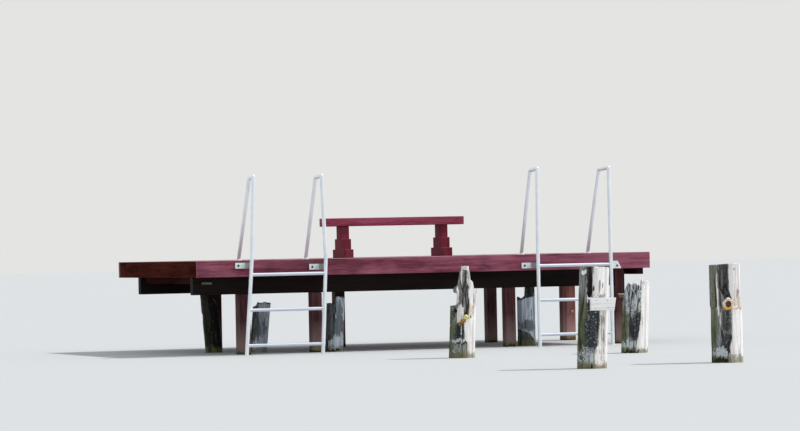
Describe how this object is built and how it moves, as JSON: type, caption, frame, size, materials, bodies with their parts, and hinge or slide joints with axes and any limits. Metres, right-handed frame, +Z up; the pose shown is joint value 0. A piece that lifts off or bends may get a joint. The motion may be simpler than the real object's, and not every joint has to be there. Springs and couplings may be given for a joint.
{
  "type": "wooden jetty",
  "caption": "Low timber jetty deck on square posts with a fixed bench, tube ladders with handrails, and the weathered round piles of an older jetty.",
  "frame": {"origin": "centre of the foot of the front left post, at water level", "axes": "+X along the water side of the deck, +Y towards the shore, +Z up"},
  "size_m": [4.45, 9.0887, 1.6725],
  "materials": {
    "bleached_board": "bleached raw board",
    "dark_frame_timber": "dark stained sawn timber",
    "deck_board": "worn wine-red stain on planed boards",
    "galvanised_bar": "pale satin galvanised flat bar",
    "galvanised_tube": "pale satin galvanised tube",
    "painted_bench": "faded wine-red wood stain, matt",
    "painted_edge_board": "faded wine-red wood stain, matt",
    "painted_post": "faded wine-red stain with algae at the water",
    "weathered_pile": "bleached and rotten round timber"
  },
  "bodies": {
    "root": {"front_fascia": "painted_edge_board", "left_side_board": "painted_edge_board", "right_side_board": "painted_edge_board", "rear_board": "painted_edge_board", "deck_boards_front": "deck_board", "deck_boards_middle": "deck_board", "deck_boards_rear": "deck_board", "edge_joist_left": "dark_frame_timber", "edge_joist_right": "dark_frame_timber", "inner_joists_left": "dark_frame_timber", "inner_joists_right": "dark_frame_timber", "front_beam": "dark_frame_timber", "rear_beam": "dark_frame_timber", "front_post_left": "painted_post", "front_post_ladder": "painted_post", "front_post_middle": "painted_post", "front_post_right": "painted_post", "rear_post_left": "painted_post", "rear_post_middle": "painted_post", "rear_post_inner": "painted_post", "rear_post_right": "painted_post", "rear_post_doubling": "painted_post", "under_pile_leaning": "weathered_pile", "under_pile_broken": "weathered_pile", "under_pile_left": "weathered_pile", "under_pile_right": "weathered_pile", "outer_pile_stump": "weathered_pile", "outer_pile_right": "weathered_pile", "outer_pile_tagged": "weathered_pile", "outer_pile_far_right": "weathered_pile", "pile_tag_board": "bleached_board", "bench_seat": "painted_bench", "bench_support_left": "painted_bench", "bench_support_right": "painted_bench", "ladder_left_stiles": "galvanised_tube", "ladder_left_handrail_left": "galvanised_tube", "ladder_left_handrail_right": "galvanised_tube", "ladder_left_rungs": "galvanised_tube", "ladder_left_brackets": "galvanised_bar", "ladder_right_stiles": "galvanised_tube", "ladder_right_handrail_left": "galvanised_tube", "ladder_right_handrail_right": "galvanised_tube", "ladder_right_rungs": "galvanised_tube", "ladder_right_brackets": "galvanised_bar"}
  },
  "joints": []
}
